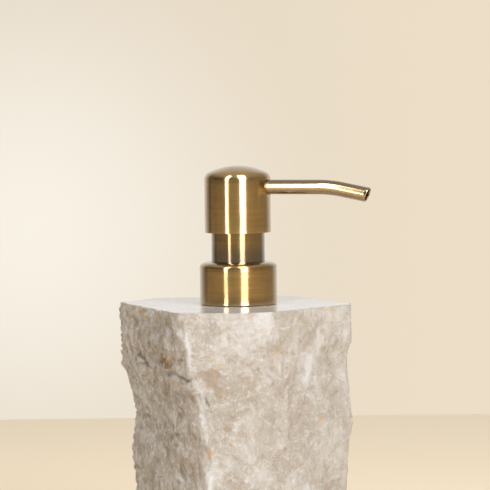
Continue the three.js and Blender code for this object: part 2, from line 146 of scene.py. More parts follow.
def ramped(tree, value, low, high, to_low=0.0, to_high=1.0):
    """A smooth step from to_low to to_high as the value goes from low to high."""
    inputs = {0: value, 1: low, 2: high, 3: to_low, 4: to_high}
    made = node(tree, "ShaderNodeMapRange", inputs, interpolation_type="SMOOTHSTEP")
    return made.outputs[0]


def mixed(tree, mask, first, second, blend="MIX"):
    """A blend of two colours by a mask."""
    made = node(tree, "ShaderNodeMix", {0: mask}, data_type="RGBA", blend_type=blend)
    for index, value in ((6, first), (7, second)):
        if isinstance(value, bpy.types.NodeSocket):
            tree.links.new(value, made.inputs[index])
        else:
            made.inputs[index].default_value = (*value, 1)
    return made.outputs[2]


def clouded(tree, place, scale, detail=4.0, roughness=0.55, distortion=0.0):
    """The value of a noise at a place, at so many waves in a metre."""
    inputs = {
        "Vector": place,
        "Scale": scale,
        "Detail": detail,
        "Roughness": roughness,
        "Distortion": distortion,
    }
    return node(tree, "ShaderNodeTexNoise", inputs).outputs[0]


def stretched(tree, place, across, along, up):
    """A place with its three coordinates scaled, so that a pattern is drawn out."""
    inputs = {0: place, 1: (across, along, up)}
    return node(tree, "ShaderNodeVectorMath", inputs, operation="MULTIPLY").outputs[0]


def object_place(tree):
    """The place on the piece, in metres."""
    return node(tree, "ShaderNodeTexCoord").outputs["Object"]


def new_material(name):
    """An empty material, with its tree and its shader."""
    material = bpy.data.materials.new(name)
    material.use_nodes = True
    return material, material.node_tree, material.node_tree.nodes["Principled BSDF"]


def new_group(name, inputs, outputs):
    """A node group with named inputs and outputs: its tree, its inputs and its output node."""
    group = bpy.data.node_groups.new(name, "ShaderNodeTree")
    for socket, kind, value in inputs:
        made = group.interface.new_socket(name=socket, in_out="INPUT", socket_type=kind)
        made.default_value = value
    for socket, kind in outputs:
        group.interface.new_socket(name=socket, in_out="OUTPUT", socket_type=kind)
    return group, group.nodes.new("NodeGroupInput").outputs, group.nodes.new("NodeGroupOutput").inputs


def use_group(tree, group, inputs=None):
    """Places a node group in a material with its own values."""
    made = tree.nodes.new("ShaderNodeGroup")
    made.node_tree = group
    for name, value in (inputs or {}).items():
        if isinstance(value, bpy.types.NodeSocket):
            tree.links.new(value, made.inputs[name])
        else:
            made.inputs[name].default_value = value
    return made.outputs


# %% [markdown]
# ## The floor's finish and the light
# The floor is smooth and pale, with faint cloudy variation. Two upright strips of light, one to the
# right of the camera and a slimmer one to its left, are there only to be mirrored: they draw the two
# stripes in the brass. Three soft lights do the lighting. The room behind the camera is dim and
# warm, so that the brass has something dark to mirror, and the backdrop behind the dispenser is bright
# cream with a glow on its left.

# %% Finish the floor
floor_finish, tree, shader = new_material("pale_table")
clouds = clouded(tree, object_place(tree), 3.0)
floor_colour = mixed(tree, clouds, (0.87, 0.735, 0.54), (0.92, 0.775, 0.57))
tree.links.new(floor_colour, shader.inputs["Base Color"])
shader.inputs["Roughness"].default_value = 0.5
floor.data.materials.append(floor_finish)

# %% Hang the lights
def softbox(name, angle, elevation, distance, width, height, strength, mirrored=True):
    """A rectangular light at an angle from the camera, facing the pump. Strength is its radiance."""
    data = bpy.data.lights.new(name, "AREA")
    data.shape = "RECTANGLE"
    data.size = width
    data.size_y = height
    data.energy = math.pi * width * height * strength
    data.color = (1.0, 0.99, 0.98)
    light = bpy.data.objects.new(name, data)
    scene.collection.objects.link(light)
    light.visible_camera = False
    light.visible_glossy = mirrored
    light.visible_diffuse = not mirrored
    rise = math.radians(elevation)
    pump = Vector((0, 0, 0.14))
    place = toward(front_angle + angle) * math.cos(rise) + Vector((0, 0, math.sin(rise)))
    look_from(light, pump + place * distance, pump)


softbox("right_stripe", 18, 32, 1.05, 0.40, 1.5, 13.0)
softbox("left_stripe", -37.5, 28, 1.05, 0.17, 1.3, 13.0)
softbox("main_softbox", 32, 32, 1.3, 0.5, 0.6, 14.0, mirrored=False)
softbox("top_softbox", -26, 50, 1.3, 0.3, 0.3, 21.0, mirrored=False)
softbox("side_softbox", -70, 15, 1.3, 0.5, 0.6, 2.3, mirrored=False)

# %% Light the room
world = bpy.data.worlds.new("studio")
scene.world = world
world.use_nodes = True
tree = world.node_tree
background = tree.nodes["Background"]
ray = node(tree, "ShaderNodeTexCoord").outputs["Generated"]


def along(direction):
    """How much the ray goes along a direction, from -1 to 1."""
    inputs = {0: ray, 1: direction}
    return node(tree, "ShaderNodeVectorMath", inputs, operation="DOT_PRODUCT").outputs["Value"]


behind = along(-toward(front_angle))
right = along(view_right)
up = along((0, 0, 1))
room_side = mixed(tree, ramped(tree, right, -0.6, 0.6), (0.09, 0.078, 0.06), (0.34, 0.295, 0.225))
furniture = ramped(tree, clouded(tree, stretched(tree, ray, 14.0, 14.0, 0.6), 1.0, 5.0), 0.40, 0.66)
room_side = mixed(tree, maths(tree, "MULTIPLY", furniture, 0.5), room_side, (0.46, 0.45, 0.40))
between = maths(tree, "MULTIPLY", ramped(tree, right, -0.62, -0.5), ramped(tree, right, 0.2, 0.05))
room_side = mixed(tree, maths(tree, "MULTIPLY", between, 0.6), room_side, (0.33, 0.36, 0.27))
room = mixed(tree, ramped(tree, behind, 0.35, 0.85), room_side, (0.80, 0.775, 0.73))
room = mixed(tree, ramped(tree, up, 0.35, 0.9), room, (0.62, 0.60, 0.56))
glow_right = maths(tree, "POWER", maths(tree, "ADD", right, 0.075), 2.0)
glow_up = maths(tree, "POWER", maths(tree, "ADD", up, 0.05), 2.0)
glow_reach = maths(tree, "SQRT", maths(tree, "ADD", glow_right, glow_up))
glow = ramped(tree, glow_reach, 0.0, 0.12, 1.0, 0.0)
warm_side = ramped(tree, right, -0.09, 0.09)
backdrop = mixed(tree, warm_side, (0.78, 0.69, 0.565), (0.84, 0.73, 0.57))
backdrop = mixed(tree, glow, backdrop, (0.945, 0.885, 0.785))
seen = node(tree, "ShaderNodeLightPath").outputs["Is Camera Ray"]
tree.links.new(mixed(tree, seen, room, backdrop), background.inputs["Color"])
background.inputs["Strength"].default_value = 1.0

# %% [markdown]
# ## Shared effects
# Three effects are wanted in more than one finish, so each is a node group. Brushing is the set of
# fine rings that a lathe and an abrasive pad leave on spun metal. Handling is the faint cloud of
# touch marks on anything smooth. Worn edges shows where an edge stands proud and rubs bright.

# %% Make the brushing group
brushing, group_in, group_out = new_group(
    "lathe_brushing",
    [
        ("Place", "NodeSocketVector", (0, 0, 0)),
        ("Lines per metre", "NodeSocketFloat", 3200.0),
        ("Run per metre", "NodeSocketFloat", 40.0),
    ],
    [("Fine", "NodeSocketFloat"), ("Coarse", "NodeSocketFloat")],
)
parts = node(brushing, "ShaderNodeSeparateXYZ", {0: group_in["Place"]}).outputs
squared = [maths(brushing, "MULTIPLY", parts[i], parts[i]) for i in (0, 1)]
radius = maths(brushing, "SQRT", maths(brushing, "ADD", *squared))
across_lines = maths(brushing, "SUBTRACT", parts[2], radius)
for output, share in (("Fine", 1.0), ("Coarse", 0.5)):
    lines = maths(brushing, "MULTIPLY", group_in["Lines per metre"], share)
    run = [maths(brushing, "MULTIPLY", parts[i], group_in["Run per metre"]) for i in (0, 1)]
    ring_place = node(
        brushing,
        "ShaderNodeCombineXYZ",
        {0: run[0], 1: run[1], 2: maths(brushing, "MULTIPLY", across_lines, lines)},
    ).outputs[0]
    brushing.links.new(clouded(brushing, ring_place, 1.0, 2.0, 0.6), group_out[output])

# %% Make the handling group
handling, group_in, group_out = new_group(
    "handling_marks",
    [("Place", "NodeSocketVector", (0, 0, 0)), ("Size", "NodeSocketFloat", 90.0)],
    [("Marks", "NodeSocketFloat")],
)
smears = clouded(handling, group_in["Place"], group_in["Size"], 5.0, 0.65, 0.8)
handling.links.new(ramped(handling, smears, 0.48, 0.72), group_out["Marks"])

# %% Make the worn edge group
worn_edges, group_in, group_out = new_group(
    "worn_edges",
    [("Place", "NodeSocketVector", (0, 0, 0)), ("Reach", "NodeSocketFloat", 0.06)],
    [("Edge", "NodeSocketFloat")],
)
pointed = node(worn_edges, "ShaderNodeNewGeometry").outputs["Pointiness"]
broken = clouded(worn_edges, group_in["Place"], 700.0, 3.0)
proud = maths(worn_edges, "ADD", maths(worn_edges, "SUBTRACT", pointed, 0.5), -0.01)
proud = maths(worn_edges, "DIVIDE", proud, group_in["Reach"], clamp=True)
worn_edges.links.new(maths(worn_edges, "MULTIPLY", proud, broken), group_out["Edge"])
print("groups", [g.name for g in bpy.data.node_groups])

# %% [markdown]
# ## Antique brass
# The shells are spun brass, darkened with an antiquing bath, brushed on the lathe and lacquered. The
# metal mirrors the room softly, more blurred across the brushed lines than along them, which is what
# the anisotropic setting does. The lacquer is a thin clear coat. Spun pieces take their lines round
# the pump's axis. The spout takes them round its own, and since it bends, its metal blurs evenly.

# %% Make the brass
spout_axis_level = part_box("spout_tube")[1].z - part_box("spout_tube")[1].y


def brass_finish(name, dark, bright, tangent_axis, lines, painted_shade_level=None):
    """Brushed antique brass with lines round an axis, with painted shade below a level if one is given.
    """
    material, tree, shader = new_material(name)
    place = object_place(tree)
    line_place = place
    if tangent_axis == "X":
        centre = {0: place, 1: (0, 0, -spout_axis_level)}
        centred = node(tree, "ShaderNodeVectorMath", centre, operation="ADD").outputs[0]
        tip_up = node(tree, "ShaderNodeVectorRotate", {"Vector": centred}, rotation_type="Y_AXIS")
        tip_up.inputs["Angle"].default_value = math.radians(90)
        line_place = tip_up.outputs[0]
    brush = use_group(tree, brushing, {"Place": line_place, "Lines per metre": lines})
    marks = use_group(tree, handling, {"Place": place})["Marks"]
    reach = 0.06 if tangent_axis == "Z" else 0.4
    edge = use_group(tree, worn_edges, {"Place": place, "Reach": reach})["Edge"]
    patina = clouded(tree, place, 120.0, 5.0, 0.6)
    streak = maths(tree, "ADD", brush["Coarse"], maths(tree, "MULTIPLY", patina, 0.9))
    colour = mixed(tree, ramped(tree, streak, 0.3, 1.6), dark, bright)
    colour = mixed(tree, maths(tree, "MULTIPLY", edge, 0.7), colour, (0.86, 0.70, 0.42))
    # Painted shade and reflection: below the given level the brass is darkened, for the shadow and the
    # mirrored collar.
    if painted_shade_level:
        level = node(tree, "ShaderNodeSeparateXYZ", {0: place}).outputs[2]
        level = maths(tree, "ADD", level, maths(tree, "MULTIPLY", brush["Coarse"], 0.8 * mm))
        painted_shade_band = ramped(tree, level, (painted_shade_level - 3.2) * mm, (painted_shade_level + 2.6) * mm, 0.85, 0.0)
        colour = mixed(tree, painted_shade_band, colour, (0.13, 0.10, 0.06))
    tree.links.new(colour, shader.inputs["Base Color"])
    line_depth, base_roughness = (0.14, 0.10) if tangent_axis == "Z" else (0.03, 0.10)
    grain = maths(tree, "MULTIPLY", brush["Fine"], line_depth)
    roughness = maths(tree, "ADD", maths(tree, "MULTIPLY", marks, 0.06), base_roughness)
    tree.links.new(maths(tree, "ADD", roughness, grain), shader.inputs["Roughness"])
    shader.inputs["Metallic"].default_value = 1.0
    if tangent_axis == "Z":
        bump = node(tree, "ShaderNodeBump", {"Height": brush["Fine"], "Strength": 0.10})
        bump.inputs["Distance"].default_value = 0.02 * mm
        tree.links.new(bump.outputs[0], shader.inputs["Normal"])
        tangent = node(tree, "ShaderNodeTangent", direction_type="RADIAL", axis="Z")
        tree.links.new(tangent.outputs[0], shader.inputs["Tangent"])
        shader.inputs["Anisotropic"].default_value = 0.8
        shader.inputs["Anisotropic Rotation"].default_value = 0.25
    shader.inputs["Coat Weight"].default_value = 1.0
    shader.inputs["Coat IOR"].default_value = 1.6
    shader.inputs["Coat Roughness"].default_value = 0.15
    return material


spun_brass = brass_finish("spun_brass", (0.33, 0.195, 0.058), (0.52, 0.34, 0.12), "Z", 3200.0)
collar_finish = brass_finish("collar_brass", (0.27, 0.155, 0.042), (0.45, 0.285, 0.09), "Z", 3200.0)
spout_brass = brass_finish("spout_brass", (0.20, 0.125, 0.05), (0.34, 0.235, 0.105), "X", 2600.0)
# The sleeve's brass gets painted shade below 136.2 mm.
sleeve_brass = brass_finish("sleeve_brass", (0.20, 0.12, 0.035), (0.33, 0.21, 0.07), "Z", 3200.0, 136.2)

# %% [markdown]
# ## Spinning a shell
# A spun shell is a flat outline turned round the axis. `turned` starts from a small plane merged to
# one point, draws the outline by extruding that point from corner to corner, and spins it. The
# doubles at the seam and on the axis are merged, and only then are the normals turned outwards.

# %% Helpers for turned pieces
spin_steps = 128


def finish_mesh(piece, angle=35):
    """Merges doubles, turns the faces outwards and smooths everything but the real edges."""
    bpy.ops.object.mode_set(mode="EDIT")
    bpy.ops.mesh.select_all(action="SELECT")
    bpy.ops.mesh.remove_doubles(threshold=0.002 * mm)
    bpy.ops.mesh.normals_make_consistent(inside=False)
    bpy.ops.object.mode_set(mode="OBJECT")
    bpy.ops.object.shade_smooth_by_angle(angle=math.radians(angle))


def turned(name, outline, steps=spin_steps):
    """Spins an outline of (radius, level) points, in millimetres, round the pump's axis."""
    deselect_all()
    bpy.ops.mesh.primitive_plane_add(size=mm)
    piece = bpy.context.object
    piece.name = name
    piece.data.name = name
    bpy.ops.object.mode_set(mode="EDIT")
    bpy.ops.mesh.select_all(action="SELECT")
    bpy.ops.mesh.merge(type="CENTER")
    points = [Vector((radius * mm, 0, level * mm)) for radius, level in outline]
    bpy.ops.transform.translate(value=points[0])
    for start, end in zip(points, points[1:]):
        bpy.ops.mesh.extrude_vertices_move(TRANSFORM_OT_translate={"value": end - start})
    bpy.ops.mesh.select_all(action="SELECT")
    bpy.ops.mesh.spin(
        steps=steps, angle=math.tau, center=(0, 0, 0), axis=(0, 0, 1), use_auto_merge=True
    )
    finish_mesh(piece)
    return piece


def select_where(piece, wanted):
    """Selects the points of a piece in edit mode whose place passes a test."""
    bpy.ops.object.mode_set(mode="EDIT")
    bpy.ops.mesh.select_mode(type="VERT")
    bpy.ops.mesh.select_all(action="DESELECT")
    bpy.ops.object.mode_set(mode="OBJECT")
    for vertex in piece.data.vertices:
        vertex.select = wanted(vertex.co)
    bpy.ops.object.mode_set(mode="EDIT")


def apply_modifier(piece, kind, **settings):
    """Adds a modifier, sets it up and applies it."""
    bpy.ops.object.select_all(action="DESELECT")
    bpy.context.view_layer.objects.active = piece
    piece.select_set(True)
    modifier = piece.modifiers.new(kind.lower(), kind)
    for setting, value in settings.items():
        setattr(modifier, setting, value)
    bpy.ops.object.modifier_apply(modifier=modifier.name)


def soften_edges(piece, width, angle=40):
    """A small round on every real edge, as polishing leaves it."""
    apply_modifier(
        piece, "BEVEL", width=width * mm, segments=2, limit_method="ANGLE",
        angle_limit=math.radians(angle), harden_normals=False,
    )
    bpy.ops.object.shade_smooth_by_angle(angle=math.radians(35))


def arc(radius, level, across, high, start, end, steps):
    """Points along an arc in the half plane of radius and level, angles in degrees from outwards."""
    angles = [math.radians(start + (end - start) * i / steps) for i in range(steps + 1)]
    return [(radius + across * math.cos(a), level + high * math.sin(a)) for a in angles]


def stations(start, end, steps):
    """Evenly spaced points on a straight line, so that long faces aren't stretched."""
    shares = [i / steps for i in range(1, steps)]
    return [
        (start[0] + (end[0] - start[0]) * s, start[1] + (end[1] - start[1]) * s) for s in shares
    ]


def count_triangles(piece):
    """How many triangles a piece has."""
    return sum(len(face.vertices) - 2 for face in piece.data.polygons)


def settle(piece, body, node_name, material):
    """Gives a finished piece its material and ties it to the frame."""
    piece.data.materials.clear()
    piece.data.materials.append(material)
    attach(piece, body)
    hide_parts(node_name)
    print(piece.name, count_triangles(piece), "triangles on", body)


# %% [markdown]
# ## The collar
# The metal collar is a cup that hides the plastic screw closure. It stands 0.3 mm clear of the
# stone, and its shoulder is a soft quarter round that runs to the hole for the neck sleeve.

# %% Spin the collar
shell_wall = 0.8
collar_low, collar_high = (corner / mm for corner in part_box("collar_shell"))
sleeve_low, sleeve_high = (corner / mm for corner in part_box("neck_sleeve"))
collar_radius = collar_high.x
sleeve_radius = sleeve_high.x
collar_hole = sleeve_radius + 0.22
shoulder_width = 4.0
shoulder_height = 2.2
shoulder_radius = collar_radius - shoulder_width
shoulder_level = collar_high.z - shoulder_height
outside = [(collar_radius, collar_low.z), (collar_radius, shoulder_level)]
collar = turned(
    "collar_brass",
    [
        (collar_radius - shell_wall, collar_low.z),
        outside[0],
        *stations(*outside, 8),
        *arc(shoulder_radius, shoulder_level, shoulder_width, shoulder_height, 0, 90, 16),
        (collar_hole, collar_high.z),
        (collar_hole, collar_high.z - shell_wall),
        *arc(
            shoulder_radius, shoulder_level, shoulder_width - shell_wall,
            shoulder_height - shell_wall, 90, 0, 8,
        ),
        (collar_radius - shell_wall, collar_low.z),
    ],
)
soften_edges(collar, 0.12)
settle(collar, "collar", "collar_shell", collar_finish)

# %% [markdown]
# ## The neck sleeve
# The sleeve is the fixed tube that the head slides over. Its upper lip turns in to a small hole for
# the stem. Its lower half is darkened with painted shade, for the shadow and the mirrored collar below
# it, so it has its own brass.

# %% Spin the neck sleeve
sleeve_wall = 0.9
sleeve_lip = 6.0
sleeve_bore = sleeve_radius - sleeve_wall
sleeve_side = [(sleeve_radius, sleeve_low.z), (sleeve_radius, sleeve_high.z - 0.6)]
sleeve = turned(
    "neck_sleeve_brass",
    [
        (sleeve_bore, sleeve_low.z),
        sleeve_side[0],
        *stations(*sleeve_side, 12),
        *arc(sleeve_radius - 0.6, sleeve_high.z - 0.6, 0.6, 0.6, 0, 90, 6),
        (sleeve_lip, sleeve_high.z),
        (sleeve_lip, sleeve_high.z - sleeve_wall),
        (sleeve_bore, sleeve_high.z - sleeve_wall),
        (sleeve_bore, sleeve_low.z),
    ],
)
soften_edges(sleeve, 0.1)
settle(sleeve, "pump_body", "neck_sleeve", sleeve_brass)

# %% [markdown]
# ## The head
# The head shell is a deep cap with a low domed crown and a rounded corner. The hole for the spout is
# cut last, with a small countersink, by two cutters that are taken away afterwards.

# %% Spin the head
head_low, head_high = (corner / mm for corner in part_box("head_shell"))
spout_low, spout_high = (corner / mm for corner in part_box("spout_tube"))
head_radius = -head_low.x
head_round = 3.5
crown_radius = 28.5
spout_radius = spout_high.y
spout_level = spout_high.z - spout_radius


def head_line(inset, crown_steps, corner_steps):
    """The head's outline from the middle of its crown down to its skirt, set in by the wall."""
    reach = head_radius - head_round
    slant = crown_radius - head_round
    crown = head_high.z - crown_radius
    corner = crown + math.sqrt(slant**2 - reach**2)
    meet = math.degrees(math.atan2(corner - crown, reach))
    dome, bend = crown_radius - inset, head_round - inset
    wall_top = (head_radius - inset, corner)
    wall_foot = (head_radius - inset, head_low.z)
    return [
        (0, head_high.z - inset),
        *arc(0, crown, dome, dome, 90, meet, crown_steps)[1:],
        *arc(reach, corner, bend, bend, meet, 0, corner_steps)[1:],
        *stations(wall_top, wall_foot, 18),
        wall_foot,
    ]


head = turned("head_brass", head_line(0, 14, 10) + head_line(shell_wall, 7, 6)[::-1])


def cut_with(piece, cutter, solver="EXACT"):
    """Takes a cutter's shape out of a piece, and the cutter away."""
    apply_modifier(piece, "BOOLEAN", operation="DIFFERENCE", solver=solver, object=cutter)
    bpy.data.objects.remove(cutter)


def cone_cutter(radius_in, radius_out, start, end, level, sides):
    """A cone or bar along X, from start to end, to cut with."""
    deselect_all()
    bpy.ops.mesh.primitive_cone_add(
        vertices=sides, radius1=radius_in * mm, radius2=radius_out * mm, depth=(end - start) * mm,
        location=((start + end) / 2 * mm, 0, level * mm), rotation=(0, math.pi / 2, 0),
    )
    return bpy.context.object


spout_hole = spout_radius + 0.1
hole_sides = 64
cut_with(head, cone_cutter(spout_hole, spout_hole, 9.0, 16.0, spout_level, hole_sides))
cut_with(head, cone_cutter(2.6, 5.0, 12.7, 14.9, spout_level, hole_sides))
soften_edges(head, 0.1, 30)
settle(head, "head", "head_shell", spun_brass)

# %% [markdown]
# ## The spout
# The spout is a thin tube, level for most of its length and then bent gently down. A circle is
# extruded along the level run, spun through the bend and extruded again. The end is cut by a slanted
# plane, and the wall gets its thickness last.

# %% Draw the spout
spout_wall = 0.55
spout_reach = 57.2
bend_start = 36.0
bend_radius = 52.0
droop = math.radians(11.1)
mitre = math.radians(10.7)
deselect_all()
bpy.ops.mesh.primitive_circle_add(vertices=56, radius=spout_radius * mm)
spout = bpy.context.object
spout.name = "spout_brass"
bpy.ops.object.mode_set(mode="EDIT")
bpy.ops.mesh.select_all(action="SELECT")
bpy.ops.transform.rotate(value=math.pi / 2, orient_axis="Y", center_override=(0, 0, 0))
bpy.ops.transform.translate(value=(spout_low.x * mm, 0, spout_level * mm))
level_steps = 12
for _ in range(level_steps):
    step = (bend_start - spout_low.x) / level_steps * mm
    bpy.ops.mesh.extrude_region_move(TRANSFORM_OT_translate={"value": (step, 0, 0)})
bpy.ops.mesh.spin(
    steps=14, angle=-droop, center=(bend_start * mm, 0, (spout_level - bend_radius) * mm),
    axis=(0, 1, 0),
)
bend_run = bend_radius * math.sin(droop)
last_run = spout_reach - bend_start - bend_run
fall = bend_radius * (1 - math.cos(droop)) + last_run * math.tan(droop)
overrun = 4.0
bend_end = Vector((bend_start + bend_run, 0, spout_level - bend_radius * (1 - math.cos(droop)))) * mm
spout_way = Vector((math.cos(droop), 0, -math.sin(droop)))
select_where(spout, lambda place: (place - bend_end).dot(spout_way) > -0.01 * mm)
half_run = last_run / math.cos(droop) / 2
tip_ring = 0.9
for length in (half_run, half_run - tip_ring, tip_ring + overrun):
    step = spout_way * length * mm
    bpy.ops.mesh.extrude_region_move(TRANSFORM_OT_translate={"value": step})
bpy.ops.mesh.select_all(action="SELECT")
bpy.ops.mesh.bisect(
    plane_co=(spout_reach * mm, 0, (spout_level - fall) * mm),
    plane_no=(math.cos(droop + mitre), 0, -math.sin(droop + mitre)),
    clear_outer=True,
)
finish_mesh(spout)
apply_modifier(spout, "SOLIDIFY", thickness=spout_wall * mm, offset=-1)
soften_edges(spout, 0.1)
settle(spout, "head", "spout_tube", spout_brass)
spout_points = np.array([v.co for v in spout.data.vertices]) / mm
print("spout", spout_points.min(0).round(2), spout_points.max(0).round(2))
print("CAD spout", spout_low, spout_high)

# %% [markdown]
# ## Roughing out the stone
# The block is split, not sawn, on every side. It starts as a tall cylinder that is bisected by one
# plane for each split face. The broad faces are in the same places as in the CAD model, and a few
# narrow ones between them blunt the front corners. A voxel remesh then covers it with small even
# faces, which is the clay for the rough surface. The blank is taller than the block, so that the saw
# cuts at its top and foot come out crisp at the end.

# %% Rough out the block
stone_low, stone_high = (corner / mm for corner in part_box("stone_body"))
stone_height = stone_high.z - stone_low.z
stone_radius = 45
grain_size = 0.7
split_faces = [
    # direction, how far out, lean at the top, step below the ledge
    (-90, 2.4, 0.6, 0),
    (-76, 1.2, 0.2, 0),
    (-66, -0.4, 0.0, 0),
    (-55, -2.6, -0.2, 0),
    (-43, -4.8, -0.4, 0),
    (-4, 2.3, 0.2, 0),
    (28, -4.6, 0.5, 0),
    (62, 3, 1.0, 0),
    (98, -2.6, 0.4, 0),
    (142, 6.6, 0.8, 2.5),
    (178, 4.6, -0.4, 5.5),
    (201, -5.4, -0.4, 0.8),
    (216, -3, -4, 3.5),
    (241, 11.5, 5.5, 0),
]
block_turn = math.radians(front_angle)
middle_level = stone_low.z + stone_height / 2
deselect_all()
bpy.ops.mesh.primitive_cylinder_add(
    vertices=96, radius=60 * mm, depth=(stone_height + 12) * mm,
    location=(0, 0, middle_level * mm),
)
stone = bpy.context.object
stone.name = "stone_block"
bpy.ops.object.transform_apply(location=True, rotation=True, scale=True)
bpy.ops.object.mode_set(mode="EDIT")
for azimuth, out, lean, _ in split_faces:
    facing = math.radians(azimuth) + block_turn
    tilt = math.atan2(2 * lean, stone_height)
    level = Vector((math.cos(facing), math.sin(facing), 0))
    bpy.ops.mesh.select_all(action="SELECT")
    bpy.ops.mesh.bisect(
        plane_co=level * (stone_radius + out) * mm + Vector((0, 0, middle_level * mm)),
        plane_no=level * math.cos(tilt) + Vector((0, 0, math.sin(tilt))),
        use_fill=True, clear_outer=True,
    )
bpy.ops.object.mode_set(mode="OBJECT")
apply_modifier(stone, "REMESH", mode="VOXEL", voxel_size=grain_size * mm)
print("stone blank", count_triangles(stone), "triangles")

# %% [markdown]
# ## Breaking the surface
# Split stone shows four scales of roughness. Broad hollows follow the way it parted, shells and steps
# a few millimetres across are left where flakes came away, a ledge on the left has weathered back,
# and a fine grain covers all of it. Each is a move of the points, in or out, by noise that is read at
# their own places, so it comes out the same every time.

# %% Read the points
points = np.array([v.co for v in stone.data.vertices]) / mm
turn_back = np.array([[math.cos(block_turn), math.sin(block_turn)],
                      [-math.sin(block_turn), math.cos(block_turn)]])


def block_axes(places):
    """Places in the block's own axes: to its right, away from its front, and up."""
    sideways = places[:, :2] @ turn_back.T
    return np.column_stack([sideways, places[:, 2]])


def eased(value, low, high):
    """A smooth step from 0 to 1 as the value goes from low to high."""
    share = np.clip((value - low) / (high - low), 0, 1)
    return share * share * (3 - 2 * share)


def lumps(places, size, seed, stretch=(1, 1, 1), octaves=3):
    """Noise from about -1 to 1 at each place, with features of a size in millimetres."""
    offset = Vector((seed * 13.7, seed * 5.3, seed * 9.1))
    scaled = places / (size * np.array(stretch))
    return np.array([noise.fractal(Vector(p) + offset, 0.9, 2.1, octaves) for p in scaled])


def shells(places, size, seed, stretch=(1, 1, 1)):
    """Broken steps: the distance between the two nearest of scattered points, 0 at the steps."""
    offset = Vector((seed * 7.9, seed * 3.1, seed * 11.3))
    scaled = places / (size * np.array(stretch))
    found = np.empty(len(places))
    for i, p in enumerate(scaled):
        distances = noise.voronoi(Vector(p) + offset)[0]
        found[i] = distances[1] - distances[0]
    return found


def ridge_at(heights):
    """Where the ridge between the front and the left side runs, across the block, at each height."""
    levels = [36, 50, 64, 79, 88, 96, 110]
    return np.interp(heights, levels, [-13.6, -13.4, -15.0, -16.3, -19.6, -20.6, -25.4])


# %% Break the surface
uvz = block_axes(points)
angle = np.degrees(np.arctan2(uvz[:, 0], -uvz[:, 1]))
height = uvz[:, 2]
outwards = points[:, :2] / np.maximum(np.linalg.norm(points[:, :2], axis=1), 1e-6)[:, None]
left_side = eased(-angle, 22, 40) * eased(angle, -170, -140)
warp = np.column_stack([lumps(uvz, 18, s) for s in (1, 2, 3)]) * 4
broad = lumps(uvz + warp, 26, 4) * 1.1
middle = lumps(uvz + warp, 9, 5) * 0.75
flakes = shells(uvz + warp * 0.6, 8.5, 6, (1, 1, 1.5))
streaks = lumps(uvz + warp, 3.4, 7, (1, 1, 2.0)) * 0.5
fine = lumps(uvz, 2.2, 8, octaves=4) * 0.3
grit = lumps(uvz, 1.3, 31, octaves=3) * (0.16 + 0.16 * left_side)
scales = shells(uvz + warp * 0.5, 3.2, 32, (1, 1, 1.3))
ridge = ridge_at(height)
past_ridge = eased(-(angle - np.degrees(np.arctan2(ridge, 47))), -2.5, 3.5) * eased(angle, -165, -135)
ledge_level = 88 + 2.2 * lumps(uvz, 12, 9) - 0.10 * (uvz[:, 0] + 40)
under_ledge = 1 - eased(height, ledge_level - 0.8, ledge_level + 0.6)
weathered = 0.9 * under_ledge + 1.5 * (1 - eased(height, ledge_level - 12, ledge_level))
groove = 1.5 * np.exp(-(((height - ledge_level + 0.6) / 0.9) ** 2)) * eased(lumps(uvz, 7, 33), 0.05, 0.4)
move = broad + middle + fine + grit
move += (np.minimum(flakes, 0.45) - 0.25) * (1.1 + 1.5 * left_side)
move += (np.minimum(scales, 0.4) - 0.2) * (0.5 + 1.5 * left_side)
move += streaks * (0.4 + 1.9 * left_side)
left_facing = math.radians(213)
left_way = np.array([math.cos(left_facing), math.sin(left_facing)]) @ turn_back
print("moves from", round(float(move.min()), 2), "to", round(float(move.max()), 2), "mm")
points[:, :2] += outwards * move[:, None]
points[:, :2] -= left_way * (past_ridge * (weathered + groove))[:, None]

# %% [markdown]
# ## Matching the outline
# The block's two sides are then drawn in or out to the outline of the real one, as a mason would
# dress it to a template. The template gives the outermost place of each side at a few heights.

# %% Dress the sides to the template
left_template = [
    (2, -46.5), (20, -46.1), (35, -45.5), (40, -45.7), (48, -46.9), (54, -46.1), (59, -45.2),
    (65, -44.8), (70, -45.5), (76, -47.2), (80, -48.2), (83, -49.8), (86, -51.0), (93, -50.7),
    (103, -50.9), (108, -51.3), (112, -51.3),
]
right_template = [
    (2, 45.2), (20, 44.8), (35, 44.8), (42, 45.4), (48, 45.2), (56, 46.2), (62, 47.7), (67, 47.1),
    (72, 46.2), (77, 46.2), (81, 45.7), (85, 45.4), (89, 45.0), (93, 45.6), (97, 47.3), (112, 47.3),
]
uvz = block_axes(points)
sideways = uvz[:, 0].copy()
band = 1.5
for template, side in ((left_template, -1), (right_template, 1)):
    levels = np.arange(-4, 120, band)
    reach = np.array([
        (side * uvz[np.abs(height - level) < band, 0]).max() for level in levels
    ])
    wanted = side * np.interp(levels, [z for z, _ in template], [u for _, u in template])
    shortfall = np.interp(height, levels, wanted - reach)
    weight = eased(side * uvz[:, 0], 22, 41)
    sideways += side * shortfall * weight
    print("side", side, "was out by", (wanted - reach).round(1).min(), (wanted - reach).round(1).max())
uvz[:, 0] = sideways
points[:, :2] = uvz[:, :2] @ turn_back
stone.data.vertices.foreach_set("co", (points * mm).ravel())
stone.data.update()

# %% [markdown]
# ## Sawing and boring
# Two bisecting planes make the polished top and the sawn foot. The reservoir, the seat of the plug
# and the hole for the neck are one turned cutter, with the same sizes as in the CAD model.

